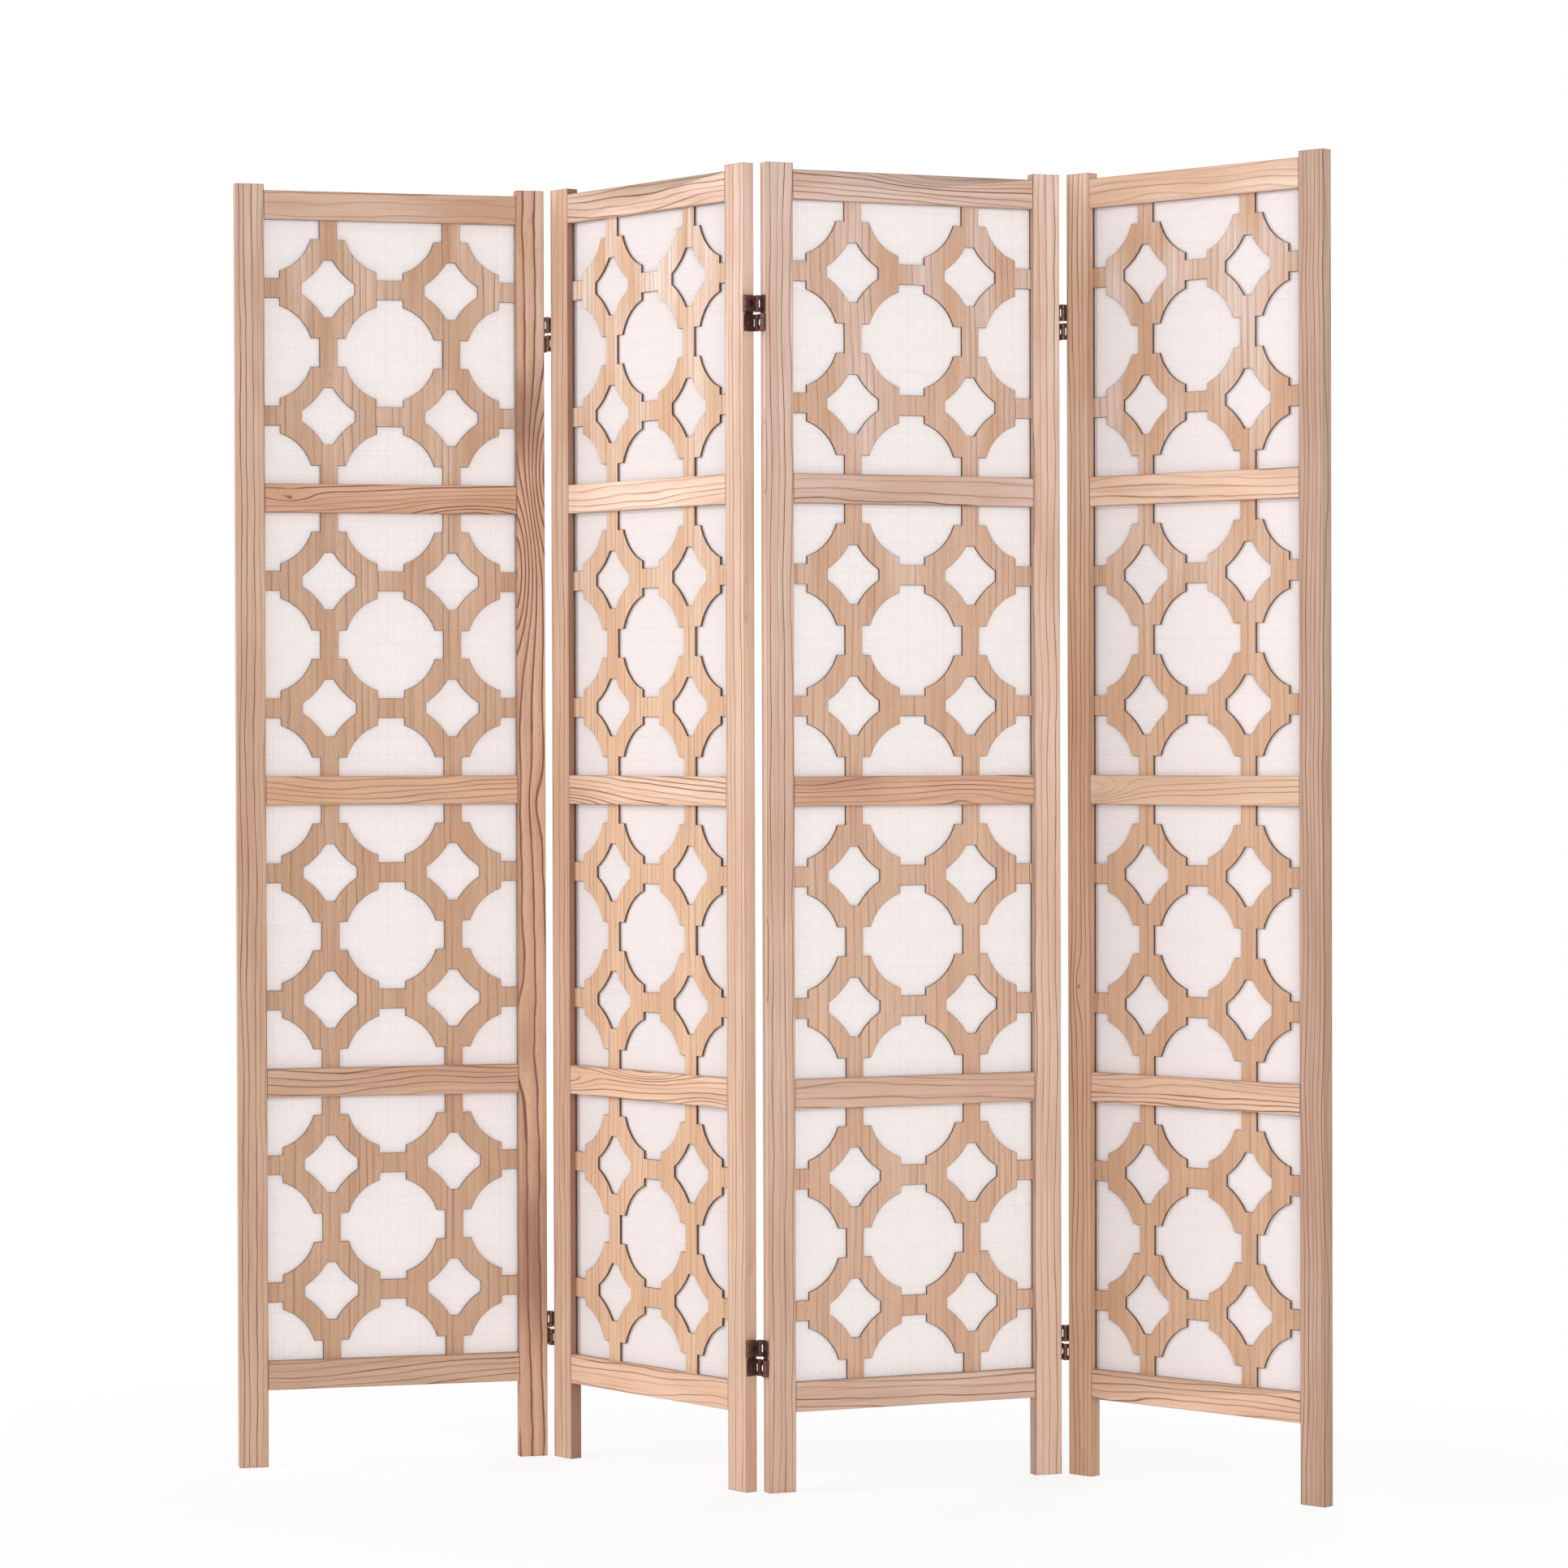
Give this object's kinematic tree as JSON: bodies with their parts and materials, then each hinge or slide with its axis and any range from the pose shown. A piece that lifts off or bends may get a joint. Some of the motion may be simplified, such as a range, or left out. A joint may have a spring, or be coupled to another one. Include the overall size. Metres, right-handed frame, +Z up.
{
  "type": "folding screen",
  "caption": "Folding room divider: wooden frames with a fret-cut lattice in front of woven mesh, joined by two-way hinges.",
  "frame": {"origin": "on the floor, under the centre of the bounding box of the screen in its rest zigzag", "axes": "+Z up, +X along the screen from panel 1 to panel 4, +Y from the front to the back"},
  "size_m": [1.4576, 0.279, 1.7],
  "materials": {
    "stile_wood": "planed softwood, unvarnished",
    "rail_wood": "planed softwood, unvarnished",
    "lattice_wood": "thin board, cut edges scorched dark",
    "mesh_cloth": "open plain weave, cream",
    "hinge_bronze": "dark bronze plating on steel, worn at the edges"
  },
  "bodies": {
    "panel_1": {"panel_1_left_stile": "stile_wood", "panel_1_right_stile": "stile_wood", "panel_1_bottom_rail": "rail_wood", "panel_1_lower_rail": "rail_wood", "panel_1_middle_rail": "rail_wood", "panel_1_upper_rail": "rail_wood", "panel_1_top_rail": "rail_wood", "panel_1_lattice": "lattice_wood", "panel_1_mesh": "mesh_cloth", "hinge_1_2_top_left_leaf": "hinge_bronze", "hinge_1_2_top_lower_link": "hinge_bronze", "hinge_1_2_bottom_left_leaf": "hinge_bronze", "hinge_1_2_bottom_lower_link": "hinge_bronze"},
    "panel_2": {"panel_2_left_stile": "stile_wood", "panel_2_right_stile": "stile_wood", "panel_2_bottom_rail": "rail_wood", "panel_2_lower_rail": "rail_wood", "panel_2_middle_rail": "rail_wood", "panel_2_upper_rail": "rail_wood", "panel_2_top_rail": "rail_wood", "panel_2_lattice": "lattice_wood", "panel_2_mesh": "mesh_cloth", "hinge_1_2_top_right_leaf": "hinge_bronze", "hinge_1_2_top_upper_link": "hinge_bronze", "hinge_1_2_bottom_right_leaf": "hinge_bronze", "hinge_1_2_bottom_upper_link": "hinge_bronze", "hinge_2_3_top_left_leaf": "hinge_bronze", "hinge_2_3_top_upper_link": "hinge_bronze", "hinge_2_3_bottom_left_leaf": "hinge_bronze", "hinge_2_3_bottom_upper_link": "hinge_bronze"},
    "panel_3": {"panel_3_left_stile": "stile_wood", "panel_3_right_stile": "stile_wood", "panel_3_bottom_rail": "rail_wood", "panel_3_lower_rail": "rail_wood", "panel_3_middle_rail": "rail_wood", "panel_3_upper_rail": "rail_wood", "panel_3_top_rail": "rail_wood", "panel_3_lattice": "lattice_wood", "panel_3_mesh": "mesh_cloth", "hinge_2_3_top_right_leaf": "hinge_bronze", "hinge_2_3_top_lower_link": "hinge_bronze", "hinge_2_3_bottom_right_leaf": "hinge_bronze", "hinge_2_3_bottom_lower_link": "hinge_bronze", "hinge_3_4_top_left_leaf": "hinge_bronze", "hinge_3_4_top_lower_link": "hinge_bronze", "hinge_3_4_bottom_left_leaf": "hinge_bronze", "hinge_3_4_bottom_lower_link": "hinge_bronze"},
    "panel_4": {"panel_4_left_stile": "stile_wood", "panel_4_right_stile": "stile_wood", "panel_4_bottom_rail": "rail_wood", "panel_4_lower_rail": "rail_wood", "panel_4_middle_rail": "rail_wood", "panel_4_upper_rail": "rail_wood", "panel_4_top_rail": "rail_wood", "panel_4_lattice": "lattice_wood", "panel_4_mesh": "mesh_cloth", "hinge_3_4_top_right_leaf": "hinge_bronze", "hinge_3_4_top_upper_link": "hinge_bronze", "hinge_3_4_bottom_right_leaf": "hinge_bronze", "hinge_3_4_bottom_upper_link": "hinge_bronze"}
  },
  "joints": [
    {"name": "fold_1_2", "type": "hinge", "parent": "panel_2", "child": "panel_1", "pos_m": [-0.35177, 0.11978, 0.85], "axis": [0, 0, 1], "range_deg": [-66, 114]},
    {"name": "fold_2_3", "type": "hinge", "parent": "panel_2", "child": "panel_3", "pos_m": [0, -0.12126, 0.85], "axis": [0, 0, 1], "range_deg": [-74, 105]},
    {"name": "fold_3_4", "type": "hinge", "parent": "panel_3", "child": "panel_4", "pos_m": [0.35177, 0.11978, 0.85], "axis": [0, 0, -1], "range_deg": [-66, 114]}
  ]
}
